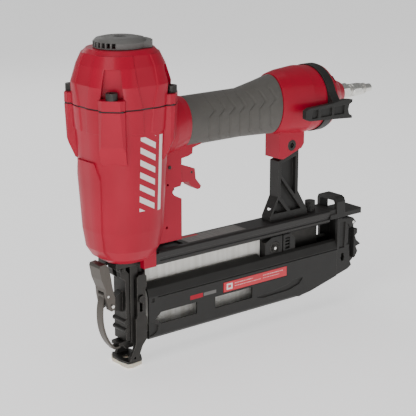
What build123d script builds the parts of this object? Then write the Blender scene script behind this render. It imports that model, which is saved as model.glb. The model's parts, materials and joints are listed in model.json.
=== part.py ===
"""Pneumatic finish nailer with a side-loading magazine, as an assembly.

Millimetres. The origin is on the drive axis, at the bottom face of the no-mar pad.
+Z runs up the drive axis, +X runs back along the handle and the magazine, and -Y is
the side with the depth wheel and the open side of the magazine.
"""
from build123d import *
import os
from math import sqrt

# ---------------------------------------------------------------- driving sizes
# clearances
GAP = 0.3              # between pieces that slide or turn past one another
PIN_FIT = 0.1          # radial, hinge pin in its hole

# drive line
BORE_R = 20.0          # cylinder bore radius
SLEEVE_WALL = 2.2
STROKE = 82.0          # travel of piston and driver
BLADE_T = 1.5          # driver blade along X
BLADE_W = 2.9          # driver blade along Y
PISTON_H = 14.0
BUMPER_H = 17.0
BUMPER_BORE_R = 5.0
FLOOR_T = 6.0          # cylinder floor in the housing

# work contact, nose and nails
PAD_T = 4.0
FOOT_PLATE_T = 2.0
NOSE_TIP_Z = 16.0
NOSE_HALF_W = 10.0
NOSE_BACK_X = 15.0
NAIL_LEN = 63.5
NAIL_T = 1.6           # wire of a 16-gauge nail, along the strip
NAIL_W = 1.4           # wire across the strip
NAIL_HEAD_W = 2.8
NAIL_Z0 = 24.0
NAIL_COUNT = 97

# magazine
RAIL_H = 13.0
RAIL_HALF_W = 13.0
RAIL_END_X = 236.0
COVER_HALF_W = 14.0
COVER_Z0 = 21.5
COVER_WALL = 2.0
COVER_TOP_Z = 72.0
COVER_FRONT_X = 16.0
PUSHER_LEN = 38.0
END_REAR_X = 262.5     # back wall of the magazine end

# housing and cap
HOUSING_Z0 = 99.0
SEAM_Z = 235.0         # top face of the housing
GASKET_T = 1.2
CAP_TOP_Z = 282.0
WALL = 4.0
BOSS_W = 22.0
BOSS_REACH = 47.0
CAP_SCREW_XY = 30.0
CAP_SCREW_R = 3.0
CAP_BOSS_H = 8.5       # screw seats above the gasket
HEAD_R = 5.0
HEAD_H = 6.0
VALVE_R = 26.0         # head valve
VALVE_LIFT = 4.0
EXHAUST_R = 9.0
DEFLECTOR_R = 22.8
PANEL_T = 0.8          # raised panels over the corners of cap and barrel
PANEL_HALF_LOW = 24.0
PANEL_HALF_TOP = 15.5
POCKET_HALF_LOW = 9.6  # pocket over a cap screw
POCKET_HALF_TOP = 6.6
POCKET_TOP_Z = 268.5
POCKET_GAP = 1.6
DEFLECTOR_H = 8.4

# handle
HANDLE_Z = 214.0       # axis of hook ring, end cap and air plug
GRIP_X0 = 62.0
GRIP_X1 = 166.0
GRIP_T = 2.8
HANDLE_END_X = 212.0
RING_W = 10.0
RING_R = 32.0
SPIGOT_R = 27.0
AIR_R = 13.0           # air passage in the handle
END_CAP_X = 255.0
HOOK_Y = 38.0          # centre of the hook arm from the handle axis

# air plug (industrial profile)
HEX_AF = 14.0
PLUG_AF = 12.0
PLUG_TIP_R = 3.95
PLUG_BORE_R = 2.5
SWIVEL_X = 270.0
PLUG_HEX_END_X = 283.0
PLUG_END_X = 298.4

# trigger group
TRIGGER_PIVOT = (44.0, 173.4)
TRIGGER_HALF_W = 5.0
PIVOT_PIN_R = 1.6
LEVER_PIN = (71.0, 164.4)
LEVER_PIN_R = 1.2
STEM_X = 62.0
STEM_R = 1.6
VALVE_BODY_R = 7.0
WEB_HALF_W = 8.5

# worked out from the sizes above
NAIL_Z1 = NAIL_Z0 + NAIL_LEN
RAIL_Z0 = NAIL_Z1 + 0.5
RAIL_Z1 = RAIL_Z0 + RAIL_H
FLOOR_Z = HOUSING_Z0 + FLOOR_T
SLEEVE_R = BORE_R + SLEEVE_WALL
BUMPER_Z1 = FLOOR_Z + BUMPER_H
PISTON_Z0 = BUMPER_Z1 + 1.0 + STROKE
PISTON_Z1 = PISTON_Z0 + PISTON_H
SLEEVE_Z1 = PISTON_Z1 + 4.0
VALVE_Z0 = SLEEVE_Z1 + GAP
CAP_Z0 = SEAM_Z + GASKET_T
SEAT_Z = CAP_Z0 + CAP_BOSS_H
NAIL_X0 = BLADE_T / 2 + 0.55
NAIL_X1 = NAIL_X0 + NAIL_COUNT * NAIL_T
PUSHER_X0 = NAIL_X1 + GAP
DOOR_X = -(BLADE_T / 2 + 0.25)      # front face of the nose


# ---------------------------------------------------------------- plain helpers
def block(x0, x1, y0, y1, z0, z1):
    """A box between two corners."""
    centre = Pos((x0 + x1) / 2, (y0 + y1) / 2, (z0 + z1) / 2)
    return centre * Box(x1 - x0, y1 - y0, z1 - z0)


def rod_x(r, x0, x1, y, z):
    return Pos((x0 + x1) / 2, y, z) * Rot(0, 90, 0) * Cylinder(r, x1 - x0)


def rod_y(r, y0, y1, x, z):
    return Pos(x, (y0 + y1) / 2, z) * Rot(90, 0, 0) * Cylinder(r, y1 - y0)


def rod_z(r, z0, z1, x=0.0, y=0.0):
    return Pos(x, y, (z0 + z1) / 2) * Cylinder(r, z1 - z0)


def outline(points, r=0.0):
    """A closed outline, with its corners rounded when r is given."""
    face = make_face(Polyline(*points, close=True))
    return fillet(face.vertices(), r) if r else face


def side_prism(points, y0, y1, r=0.0):
    """An outline in X and Z, from y0 to y1."""
    plane = Plane((0, y1, 0), x_dir=(1, 0, 0), z_dir=(0, -1, 0))
    return extrude(plane * outline(points, r), y1 - y0)


def plan_prism(points, z0, z1, r=0.0):
    """An outline in X and Y, from z0 to z1."""
    return extrude(Plane.XY.offset(z0) * outline(points, r), z1 - z0)


def end_prism(points, x0, x1, r=0.0):
    """An outline in Y and Z, from x0 to x1."""
    plane = Plane((x0, 0, 0), x_dir=(0, 1, 0), z_dir=(1, 0, 0))
    return extrude(plane * outline(points, r), x1 - x0)


def turned_z(points):
    """Radius and height pairs, revolved about the drive axis."""
    return revolve(Plane.XZ * outline(points), Axis.Z)


def turned_x(points, z):
    """X and radius pairs, revolved about an axis along X at height z."""
    plane = Plane((0, 0, z), x_dir=(1, 0, 0), z_dir=(0, -1, 0))
    return revolve(plane * outline(points), Axis((0, 0, z), (1, 0, 0)))


def square_loft(stations):
    """Rounded squares, (z, half size, corner radius), joined by flat walls."""
    faces = [Plane.XY.offset(z) * RectangleRounded(2 * half, 2 * half, r) for z, half, r in stations]
    return loft(faces, ruled=True)


def oval_loft(stations):
    """Ovals across the handle, (x, centre z, half height, half width)."""
    faces = []
    for x, z, half_h, half_w in stations:
        plane = Plane((x, 0, z), x_dir=(0, 1, 0), z_dir=(1, 0, 0))
        faces.append(plane * Ellipse(half_w, half_h))
    return loft(faces, ruled=True)


def spring(r, wire_r, z0, z1, turns, x=0.0, y=0.0):
    """A compression spring whose end coils stay inside z0 to z1."""
    height = z1 - z0 - 2 * wire_r
    path = Helix(height / turns, height, r, center=(0, 0, 0))
    section = Plane(path @ 0, z_dir=path % 0) * Circle(wire_r)
    return Pos(x, y, z0 + wire_r) * sweep(section, path)


def corners(xy):
    return [(xy, xy), (-xy, xy), (-xy, -xy), (xy, -xy)]


def group(*pieces):
    return Compound(children=[piece for piece in pieces])


# ---------------------------------------------------------------- housing
BARREL = [(HOUSING_Z0, 20.0, 17.5), (103.0, 25.0, 22.0), (112.0, 30.5, 27.0), (129.0, 33.0, 29.0),
          (190.0, 36.2, 31.0), (SEAM_Z, 38.5, 32.0)]
NECK = [(10.0, 208.0, 26.0, 25.0), (44.0, 209.0, 25.0, 23.0), (54.0, 210.2, 24.4, 20.5),
        (GRIP_X0, 210.4, 22.8, 17.8)]
CORE = [(GRIP_X0 - 4.0, 210.4, 22.4 - GRIP_T, 17.4 - GRIP_T), (127.0, 210.4, 22.4 - GRIP_T, 17.4 - GRIP_T),
        (150.0, 212.2, 25.4 - GRIP_T, 18.8 - GRIP_T),
        (GRIP_X1 + 4.0, HANDLE_Z, 28.2 - GRIP_T, 20.4 - GRIP_T)]
GRIP = [(x, z, half_h + GRIP_T, half_w + GRIP_T) for x, z, half_h, half_w in CORE]
REAR = [(GRIP_X1, HANDLE_Z, 28.6, 21.0), (176.0, HANDLE_Z, 30.6, 24.0), (198.0, HANDLE_Z, 32.2, 29.0),
        (HANDLE_END_X, HANDLE_Z, 31.0, 30.4)]
WEB = [(20.0, 103.0), (24.0, 101.6), (30.0, 106.0), (57.0, 106.0), (57.0, 143.3), (49.0, 147.5),
       (47.0, 149.9), (48.0, 154.2), (56.0, 154.9), (57.0, 158.0), (57.0, 192.0), (20.0, 192.0)]
SPUR = [(54.0, 200.0), (54.0, 179.0), (65.0, 180.5), (69.6, 182.3), (70.0, 187.4), (79.0, 189.5),
        (82.8, 193.0), (76.0, 197.0)]
LUG = [(171.0, 162.0), (176.0, 161.0), (199.0, 169.0), (202.0, 173.0), (202.0, 190.0), (171.0, 190.0)]
BRACKET_PIN = (186.6, 173.0)
NOSE_SCREWS = [(-13.6, -9.0), (-13.6, 9.0), (10.5, -9.0), (10.5, 9.0)]


def end_screw_points():
    """Places of the four screws that hold the end cap, (y, z)."""
    reach = (SPIGOT_R - WALL / 2) / sqrt(2)
    return [(y, HANDLE_Z + z) for y, z in corners(reach)]


def boss(z_top, reach_low, z_low):
    """One corner boss, built along +X and then turned by the caller."""
    half = BOSS_W / 2
    bevel = 3.5
    side = side_prism([(24.0, z_low - 6.0), (reach_low - 2.0, z_low), (BOSS_REACH - 1.7, z_low + 16.0),
                       (BOSS_REACH, z_top), (24.0, z_top)], -half, half)
    plan = plan_prism([(24.0, -half), (BOSS_REACH - bevel, -half), (BOSS_REACH, -half + bevel),
                       (BOSS_REACH, half - bevel), (BOSS_REACH - bevel, half), (24.0, half)],
                      z_low - 6.0, z_top)
    return side & plan


def corner_panel(stations, turn, z0, z1, half_low, half_top):
    """A panel raised over one corner, which narrows towards its top or foot."""
    shell = square_loft([(z, half + PANEL_T, r + PANEL_T) for z, half, r in stations])
    cut = end_prism([(-half_low, z0), (half_low, z0), (half_top, z1), (-half_top, z1)], 0.0, 60.0)
    return shell & (Rot(0, 0, turn) * cut)


def front_panel():
    """The raised panel down the front of the barrel."""
    shell = square_loft([(z, half + 1.6, r + 1.6) for z, half, r in BARREL[1:]])
    cut = end_prism([(-13.0, 104.0), (13.0, 104.0), (17.0, 176.0), (12.0, 190.0), (-12.0, 190.0),
                     (-17.0, 176.0)], -60.0, 0.0)
    return shell & cut


def housing():
    """Die-cast barrel, handle core and lug, with its cylinder seat and air space."""
    body = square_loft(BARREL) + front_panel()
    for turn in (45, 135, 225, 315):
        body += Rot(0, 0, turn) * boss(SEAM_Z, 40.0, 190.0)
        body += corner_panel(BARREL[-2:], turn, SEAM_Z - 20.0, SEAM_Z, PANEL_HALF_LOW, PANEL_HALF_LOW)
    body += oval_loft(NECK)
    body += side_prism(WEB, -WEB_HALF_W, WEB_HALF_W)
    body += side_prism(SPUR, -8.0, 8.0)
    body += oval_loft(CORE)
    body += oval_loft(REAR)
    body += side_prism(LUG, -10.0, 10.0)
    for side in (-1, 1):
        body += block(7.0, 20.0, min(14 * side, 20 * side), max(14 * side, 20 * side), LEG_Z0, 106.0)
    body += rod_x(SPIGOT_R, HANDLE_END_X - 2.0, HANDLE_END_X + RING_W, 0, HANDLE_Z)

    # air space round the sleeve, sleeve seat, blade hole
    inner = [(z, half - WALL, r - WALL) for z, half, r in BARREL[3:-1]]
    inner.append((SEAM_Z + 1.0, BARREL[-1][1] - WALL, BARREL[-1][2] - WALL))
    body -= square_loft(inner)
    body -= rod_z(SLEEVE_R, FLOOR_Z, SEAM_Z)
    body -= block(-BLADE_T, BLADE_T, -BLADE_W / 2 - 1.0, BLADE_W / 2 + 1.0, HOUSING_Z0 - 1.0, FLOOR_Z + 1.0)

    # handle passage, open at the back
    body -= rod_x(AIR_R, 26.0, GRIP_X1, 0, 211.0)
    body -= rod_x(SPIGOT_R - WALL, GRIP_X1 + 8.0, HANDLE_END_X + RING_W + 1.0, 0, HANDLE_Z)
    body -= rod_x(AIR_R, GRIP_X1 - 2.0, GRIP_X1 + 10.0, 0, HANDLE_Z - 1.5)

    # trigger slot, valve bore, contact arm window
    body -= side_prism([(38.0, 165.0), (50.0, 156.2), (60.0, 156.2), (60.0, 178.6), (54.0, 180.0),
                        (38.0, 180.0)],
                       -TRIGGER_HALF_W - GAP, TRIGGER_HALF_W + GAP)
    body -= rod_z(VALVE_BODY_R, 175.0, 205.0, STEM_X)
    body -= block(47.9, 54.1, -2.8, 9.0, 149.2, 165.0)
    body -= rod_y(PIVOT_PIN_R, -12.0, 12.0, *TRIGGER_PIVOT)
    for side in (-1, 1):
        y0, y1 = sorted((side * (WEB_HALF_W - 3.0), side * (WEB_HALF_W + 1.0)))
        body -= rod_y(1.2, y0, y1, 40.5, 119.4)
        body -= rod_y(1.1, y0, y1, 41.9, 158.0)

    # blind holes for the cap screws, lug slot and its screw
    for x, y in corners(CAP_SCREW_XY):
        body -= rod_z(CAP_SCREW_R, SEAM_Z - 20.0, SEAM_Z + 1.0, x, y)
    body -= block(178.9, 205.0, -4.5, 4.5, 150.0, 181.0)
    body -= rod_y(3.0, -12.0, 12.0, *BRACKET_PIN)
    body -= rod_y(5.2, -12.0, -7.0, *BRACKET_PIN)
    body -= rod_y(5.2, 7.0, 12.0, *BRACKET_PIN)
    for x, y in NOSE_SCREWS:
        body -= rod_z(2.0, HOUSING_Z0 - 1.0, HOUSING_Z0 + 5.0, x, y)
    for x, y in end_screw_points():
        body -= rod_x(2.0, HANDLE_END_X - 2.0, HANDLE_END_X + RING_W + 1.0, x, y)
    return body


# ---------------------------------------------------------------- cap and valves
CAP = [(CAP_Z0, 38.5, 32.0), (254.0, 38.5, 31.0), (269.0, 34.5, 29.0), (278.5, 30.5, 26.5),
       (CAP_TOP_Z, 27.5, 24.5)]
VALVE_TOP_Z = VALVE_Z0 + 20.0
CHAMBER_Z = VALVE_TOP_Z + VALVE_LIFT + 5.0
BRIDGE_Z = 271.0


def rim_section(z):
    """The outline shared by the gasket and the foot of the cap."""
    plan = Plane.XY.offset(z) * RectangleRounded(2 * CAP[0][1], 2 * CAP[0][1], CAP[0][2])
    return extrude(plan, GASKET_T)


def cap_gasket():
    ring = rim_section(SEAM_Z)
    for turn in (45, 135, 225, 315):
        pad = block(24.0, BOSS_REACH - 0.8, -BOSS_W / 2 + 1, BOSS_W / 2 - 1, SEAM_Z, CAP_Z0)
        ring += Rot(0, 0, turn) * pad
    ring -= rod_z(BARREL[-1][1] - WALL, SEAM_Z - 1, CAP_Z0 + 1)
    for x, y in corners(CAP_SCREW_XY):
        ring -= rod_z(CAP_SCREW_R, SEAM_Z - 1, CAP_Z0 + 1, x, y)
    return ring


def cylinder_cap():
    """Cap with the head valve chamber, the exhaust bore and its bridge."""
    body = square_loft(CAP)
    half = BOSS_W / 2
    for turn in (45, 135, 225, 315):
        seat = plan_prism([(20.0, -half), (BOSS_REACH - 3.5, -half), (BOSS_REACH, -half + 3.5),
                           (BOSS_REACH, half - 3.5), (BOSS_REACH - 3.5, half),
                           (20.0, half)], CAP_Z0, SEAT_Z)
        body += Rot(0, 0, turn) * seat
        body += corner_panel(CAP, turn, CAP_Z0, CAP_TOP_Z - 3.5, PANEL_HALF_LOW, PANEL_HALF_TOP)
    pocket_x = CAP_SCREW_XY * sqrt(2) - HEAD_R - POCKET_GAP
    for turn in (45, 135, 225, 315):
        pocket = end_prism([(-POCKET_HALF_LOW, SEAT_Z), (POCKET_HALF_LOW, SEAT_Z),
                            (POCKET_HALF_TOP, POCKET_TOP_Z),
                            (-POCKET_HALF_TOP, POCKET_TOP_Z)], pocket_x, BOSS_REACH + 1)
        body -= Rot(0, 0, turn) * pocket
    for x, y in corners(CAP_SCREW_XY):
        body -= rod_z(CAP_SCREW_R + 0.2, CAP_Z0 - 1, SEAT_Z + 1, x, y)
    body -= rod_z(VALVE_R + 0.4, CAP_Z0 - 1, CHAMBER_Z)
    body -= rod_z(EXHAUST_R + 0.4, CHAMBER_Z - 1, BRIDGE_Z)
    body -= rod_z(16.0, BRIDGE_Z - 4.0, CAP_TOP_Z + 1)
    body += block(-17.0, 17.0, -4.5, 4.5, BRIDGE_Z, CAP_TOP_Z)
    body -= rod_z(2.2, BRIDGE_Z - 1, CAP_TOP_Z + 1)
    return body


def cap_screws():
    """Four socket head screws."""
    screws = []
    for x, y in corners(CAP_SCREW_XY):
        head = rod_z(HEAD_R, SEAT_Z, SEAT_Z + HEAD_H, x, y)
        head -= Pos(x, y, SEAT_Z + HEAD_H - 3.0) * extrude(RegularPolygon(2.9, 6), 4.0)
        screws.append(head + rod_z(CAP_SCREW_R, SEAM_Z - 18.0, SEAT_Z, x, y))
    return group(*screws)


def exhaust_deflector():
    """Turning cover over the exhaust, with a beak and louvres on one side."""
    z0 = CAP_TOP_Z + GAP
    z1 = z0 + DEFLECTOR_H
    r = DEFLECTOR_R
    dome = turned_z([(0, z0), (r, z0), (r, z1 - 3.5), (r - 2.5, z1 - 1.0), (r - 7.0, z1), (0, z1)])
    beak = plan_prism([(0, -r + 1), (r + 1.6, -12.0), (r + 4.0, -4.0), (r + 4.0, 4.0), (r + 1.6, 12.0),
                       (0, r - 1)], z0, z1 - 3.0)
    body = dome + Rot(0, 0, -25) * beak
    body -= rod_z(r - 3.0, z0 - 1, z1 - 3.2)
    body += rod_z(7.4, z0, z1 - 3.2)
    for turn in range(150, 228, 12):
        body -= Rot(0, 0, turn) * block(r - 5.0, r + 1.0, -1.6, 1.6, z0 + 1.0, z1 - 3.2)
    body -= rod_z(2.6, z0 - 1, z1 + 1)
    body -= rod_z(5.4, z1 - 2.6, z1 + 1)
    return body


def deflector_screw():
    top = CAP_TOP_Z + GAP + DEFLECTOR_H
    body = rod_z(4.8, top - 2.6 + GAP, top - 0.2) + rod_z(2.2, BRIDGE_Z + 1.0, top - 2.3)
    return body - block(-3.4, 3.4, -0.6, 0.6, top - 1.2, top)


def head_valve():
    """Main valve that opens the cylinder to the air space, with its exhaust tube."""
    body = turned_z([(EXHAUST_R - 2.5, VALVE_Z0), (VALVE_R - 2.0, VALVE_Z0),
                     (VALVE_R - 2.0, VALVE_Z0 + 9.0),
                     (VALVE_R, VALVE_Z0 + 9.0), (VALVE_R, VALVE_TOP_Z), (EXHAUST_R, VALVE_TOP_Z),
                     (EXHAUST_R, BRIDGE_Z - VALVE_LIFT - 1.0),
                     (EXHAUST_R - 2.5, BRIDGE_Z - VALVE_LIFT - 1.0)])
    return body - ring_z(VALVE_R - 1.2, VALVE_R + 1, VALVE_Z0 + 13.0, VALVE_Z0 + 15.4)


def ring_z(r_in, r_out, z0, z1):
    return rod_z(r_out, z0, z1) - rod_z(r_in, z0 - 1, z1 + 1)


def head_valve_oring():
    return ring_z(VALVE_R - 1.2, VALVE_R + 0.2, VALVE_Z0 + 13.0, VALVE_Z0 + 15.4)


def head_valve_spring():
    return spring(15.0, 1.0, VALVE_TOP_Z + 0.05, CHAMBER_Z - 0.05, 3.0)


# ---------------------------------------------------------------- drive line
def cylinder_sleeve():
    tube = ring_z(BORE_R, SLEEVE_R, FLOOR_Z, SLEEVE_Z1)
    for turn in range(0, 360, 45):
        tube -= Rot(0, 0, turn) * rod_x(1.6, BORE_R - 2, SLEEVE_R + 2, 0, BUMPER_Z1 + PISTON_H + 6.0)
    return tube


def sleeve_seals():
    """Two O-rings that split the air space round the sleeve."""
    return group(*[ring_z(SLEEVE_R, SLEEVE_R + 2.0, z, z + 2.5) for z in (BUMPER_Z1 + 8.0, SLEEVE_Z1 - 8.0)])


def bumper():
    return turned_z([(BUMPER_BORE_R, FLOOR_Z), (BORE_R, FLOOR_Z), (BORE_R, FLOOR_Z + 9.0),
                     (BORE_R - 3.0, BUMPER_Z1), (BUMPER_BORE_R, BUMPER_Z1)])


def piston():
    body = rod_z(BORE_R - GAP, PISTON_Z0, PISTON_Z1) - rod_z(BORE_R - 5.0, PISTON_Z1 - 5.0, PISTON_Z1 + 1)
    body -= ring_z(BORE_R - 2.2, BORE_R + 1, PISTON_Z0 + 4.0, PISTON_Z0 + 7.0)
    return body - block(-BLADE_T / 2, BLADE_T / 2, -BLADE_W / 2, BLADE_W / 2, PISTON_Z0 - 1, PISTON_Z0 + 7.0)


def piston_ring():
    return ring_z(BORE_R - 2.2, BORE_R - 0.15, PISTON_Z0 + 4.0, PISTON_Z0 + 7.0)


def driver_blade():
    return block(-BLADE_T / 2, BLADE_T / 2, -BLADE_W / 2, BLADE_W / 2, NAIL_Z1 + 0.7, PISTON_Z0 + 7.0)


# ---------------------------------------------------------------- nose
DOOR_PIN = (-8.0, 90.5)
DOOR_PIN_R = 1.5
DOOR_KNUCKLE_R = 3.2
DOOR_Z0 = 24.0
DOOR_Z1 = 86.0
LATCH_PIN = (-18.7, 59.5)
STRAP_PIN = (-22.6, 69.0)


def nose_body():
    """Driver guide with the nail inlet behind it and the strap hook in front."""
    body = block(DOOR_X, NOSE_BACK_X, -NOSE_HALF_W, NOSE_HALF_W, 22.0, HOUSING_Z0)
    body += side_prism([(DOOR_X, 23.0), (NOSE_BACK_X, 23.0), (NOSE_BACK_X - 3.0, 19.0), (6.0, NOSE_TIP_Z),
                        (-4.0, NOSE_TIP_Z), (-6.5, 19.6), (-11.0, 19.6), (-11.0, 22.6),
                        (DOOR_X, 23.4)], -6.0, 6.0)
    body += block(-18.0, NOSE_BACK_X, -13.6, 13.6, HOUSING_Z0 - 5.0, HOUSING_Z0)
    body += side_prism([(DOOR_X + 1, 87.2), (DOOR_X + 1, HOUSING_Z0 - 1), (-11.2, HOUSING_Z0 - 1),
                        (-11.2, 90.5), (-8.0, 87.3)], -2.7, 2.7)
    body -= rod_y(DOOR_PIN_R, -14, 14, *DOOR_PIN)
    channel = NAIL_HEAD_W / 2 + 0.35
    body -= block(DOOR_X - 20, BLADE_T / 2 + 0.35, -channel, channel, NOSE_TIP_Z - 1, HOUSING_Z0 + 1)
    body += block(-11.0, DOOR_X, -channel, channel, 19.6, 22.6) - nose_mouth()
    body -= block(0.0, NOSE_BACK_X + 1, -channel, channel, NAIL_Z0 - 0.6, NAIL_Z1 + 0.6)
    body -= side_prism([(3.0, 30.0), (12.0, 30.0), (12.0, 80.0), (3.0, 80.0)], -12.0, -NOSE_HALF_W + 2.0)
    for x, y in NOSE_SCREWS:
        body -= rod_z(2.2, 90.0, HOUSING_Z0 + 1, x, y)
        body -= rod_z(3.9, 84.0, HOUSING_Z0 - 3.0, x, y)
    body -= rod_y(1.5, -12.0, 12.0, *GUIDE_PIN)
    return body


def nose_mouth():
    return block(-2.2, 2.2, -2.6, 2.6, NOSE_TIP_Z - 3, 24.0)


def nose_screws():
    """Four button head screws from below into the housing."""
    screws = []
    for x, y in NOSE_SCREWS:
        z = HOUSING_Z0 - 3.0
        head = rod_z(3.6, z - 2.4, z, x, y) - Pos(x, y, z - 3.4) * extrude(RegularPolygon(1.7, 6), 2.4)
        screws.append(head + rod_z(2.0, z, HOUSING_Z0 + 4.5, x, y))
    return group(*screws)


def nose_door():
    """Front plate of the driver channel, with its hinge knuckles and latch lug."""
    x1 = DOOR_X - GAP
    body = block(x1 - 4.0, x1, -9.0, 9.0, DOOR_Z0, DOOR_Z1)
    for side in (-1, 1):
        y0, y1 = sorted((3.0 * side, 9.0 * side))
        ear = side_prism([(x1 - 4.0, 80.0), (x1 - 0.5, 80.0), (x1 - 0.5, DOOR_Z1), (-5.4, 90.5),
                          (-10.6, 90.5),
                          (-10.0, 84.0)], y0, y1)
        body += ear + rod_y(DOOR_KNUCKLE_R, y0, y1, *DOOR_PIN)
    body += side_prism([(x1 - 3.0, 50.0), (x1 - 3.0, 70.0), (-15.0, 64.0), (-19.0, 62.7), (-21.6, 59.5),
                        (-19.0, 56.3), (-15.0, 54.0)], -4.0, 4.0)
    for z in (34.0, 42.0):
        body += rod_y(2.4, -9.6, 9.6, x1 - 3.4, z)
    body -= rod_y(DOOR_PIN_R + PIN_FIT, -14, 14, *DOOR_PIN)
    return body - rod_y(1.5, -5, 5, *LATCH_PIN)


def door_pin():
    return rod_y(DOOR_PIN_R, -10.0, 10.0, *DOOR_PIN)


def latch_pin():
    return rod_y(1.5, -9.4, 9.4, *LATCH_PIN)


def latch_lever():
    """Thumb lever, a channel that straddles the lug on the door."""
    side = [(-16.0, 55.8), (-15.6, 66.0), (-18.4, 78.0), (-19.6, 86.0), (-21.6, 95.0), (-24.6, 99.0),
            (-30.4, 98.4), (-31.2, 96.0), (-29.0, 85.0), (-25.4, 76.0), (-24.6, 68.0), (-22.6, 57.0),
            (-19.5, 54.8)]
    body = side_prism(side, -8.0, 8.0)
    body -= side_prism([(-10.0, 40.0), (-10.0, 79.0), (-20.6, 79.0), (-22.6, 74.0),
                        (-22.6, 40.0)], -4.4, 4.4)
    body -= side_prism([(-30.0, 40.0), (-30.0, 72.6), (-20.0, 72.6), (-20.0, 40.0)], -4.4, 4.4)
    body -= rod_y(1.5 + PIN_FIT, -9, 9, *LATCH_PIN)
    return body - rod_y(1.1, -9, 9, *STRAP_PIN)


def strap_pin():
    return rod_y(1.1, -8.0, 8.0, *STRAP_PIN)


def latch_strap():
    """Bowed steel strap that draws the door shut on the hook of the nose."""
    x, z = STRAP_PIN
    outer = Spline((x - 1.7, z), (-27.4, 50.0), (-23.5, 30.0), (-14.8, 17.4))
    inner = Spline((-13.8, 18.9), (-21.9, 31.2), (-25.7, 50.2), (x - 0.1, z))
    edges = [outer, Line(outer @ 1, inner @ 0), inner, Line(inner @ 1, outer @ 0)]
    plane = Plane((0, 4.1, 0), x_dir=(1, 0, 0), z_dir=(0, -1, 0))
    bow = extrude(plane * make_face(edges), 8.2)
    foot = side_prism([(-15.2, 17.3), (-8.4, 17.3), (-8.4, 19.0), (-14.4, 19.0)], -4.1, 4.1)
    eye = rod_y(2.5, -4.1, 4.1, x, z)
    return bow + foot + eye - rod_y(1.1 + PIN_FIT, -5, 5, x, z)


# ---------------------------------------------------------------- work contact
GUIDE_PIN = (8.0, 62.0)
WHEEL_X = 10.5
ROD_Y = 17.0
THREAD_R = 2.0
ARM_Y = 20.4
ARM_T = 2.2
LEG_Z0 = 91.0
FOOT_TOP_Z = PAD_T + FOOT_PLATE_T


def contact_foot():
    """Bottom plate, the near leg that runs up the nose, and the far leg with its rod."""
    plate = plan_prism([(-9.0, -2.0), (-7.0, -13.4), (8.0, -13.4), (13.4, -4.0), (13.4, 13.4), (-4.0, 16.0),
                        (-8.5, 9.0)], PAD_T, FOOT_TOP_Z, 1.5)
    plate -= rod_z(3.6, 0, 9.0)
    near = side_prism([(-5.5, PAD_T), (6.5, PAD_T), (5.5, 10.0), (9.0, 18.0), (14.0, 24.0), (14.0, 44.0),
                       (12.5, 46.0), (12.5, 70.0), (14.0, 72.0), (14.0, 82.0), (12.0, 84.0), (6.0, 84.0),
                       (4.0, 82.0), (4.0, 46.0), (2.0, 44.0), (2.0, 22.0), (-1.0, 14.0), (-3.5, 10.0)],
                      -13.4, -NOSE_HALF_W - GAP)
    near -= side_prism([(-1.5, PAD_T + 3.0), (2.5, PAD_T + 3.0), (0.5, 10.5)], -14, -9)
    near -= block(6.4, 9.6, -15, -9, GUIDE_PIN[1] - 12.0, GUIDE_PIN[1] + 3.8)
    far = side_prism([(-4.0, PAD_T), (10.0, PAD_T), (12.0, 24.0), (12.0, 44.0), (4.0, 44.0), (2.0, 20.0)],
                     NOSE_HALF_W + GAP, 13.4)
    shelf = block(4.0, 13.5, NOSE_HALF_W + GAP, ROD_Y + 3.0, 40.0, 44.0)
    thread = rod_z(THREAD_R, 40.0, 68.0, WHEEL_X, ROD_Y)
    return plate + near + far + shelf + thread


def guide_pin():
    """Headed pin in the nose that the near leg slides on."""
    x, z = GUIDE_PIN
    return rod_y(1.5, -13.4 - GAP, -2.6, x, z) + rod_y(3.2, -15.4, -13.4 - GAP, x, z)


def no_mar_pad():
    """Soft two-lobed pad under the foot."""
    pad = plan_prism([(-4.0, 17.5), (-8.6, 9.0), (-7.6, -1.0), (-8.4, -5.4), (-7.4, -13.2), (-2.3, -14.8),
                      (8.2, -12.6), (13.6, -5.0), (14.4, 4.0), (13.4, 13.0), (4.0, 17.5)], 0, PAD_T, 1.6)
    return pad - rod_z(3.6, -1, PAD_T + 1)


def contact_arm():
    """Far-side link from the depth wheel up to the lever inside the trigger."""
    y1 = ARM_Y + ARM_T
    strip = side_prism([(6.5, 70.0), (14.5, 70.0), (32.0, 80.0), (55.0, 104.0), (55.0, 152.0),
                        (47.0, 152.0),
                        (47.0, 110.0), (28.0, 90.0), (6.5, 84.0)], ARM_Y, y1)
    upper = block(6.5, 14.5, ROD_Y - 3.1, y1, 70.0, 73.0)
    lower = block(6.5, 14.5, ROD_Y - 3.1, y1, 52.0, 55.0)
    back = block(6.5, 14.5, ARM_Y, y1, 52.0, 73.0)
    finger = block(48.4, 53.6, -2.3, y1, 150.0, 152.0) + block(48.4, 53.6, -2.3, 2.3, 151.0, 156.0)
    bore = rod_z(THREAD_R + GAP, 50.0, 75.0, WHEEL_X, ROD_Y)
    return strip + upper + lower + back + finger - bore


def depth_wheel():
    """Knurled nut that sets how far the foot stands below the arm."""
    wheel = rod_z(3.1, 55.0 + GAP, 70.0 - GAP, WHEEL_X, ROD_Y)
    for turn in range(0, 360, 30):
        wheel -= Pos(WHEEL_X, ROD_Y, 0) * Rot(0, 0, turn) * rod_z(0.45, 50.0, 75.0, 3.2)
    return wheel - rod_z(THREAD_R + GAP, 50.0, 75.0, WHEEL_X, ROD_Y)


def contact_spring():
    """Spring between the top of the arm and the housing, round a post."""
    return spring(2.4, 0.5, 73.05, LEG_Z0 - 0.05, 7.0, WHEEL_X, ROD_Y)


# ---------------------------------------------------------------- trigger group
VALVE_BODY_Z0 = 179.8
VALVE_BODY_Z1 = 203.0
STEM_Z0 = 173.6


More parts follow.
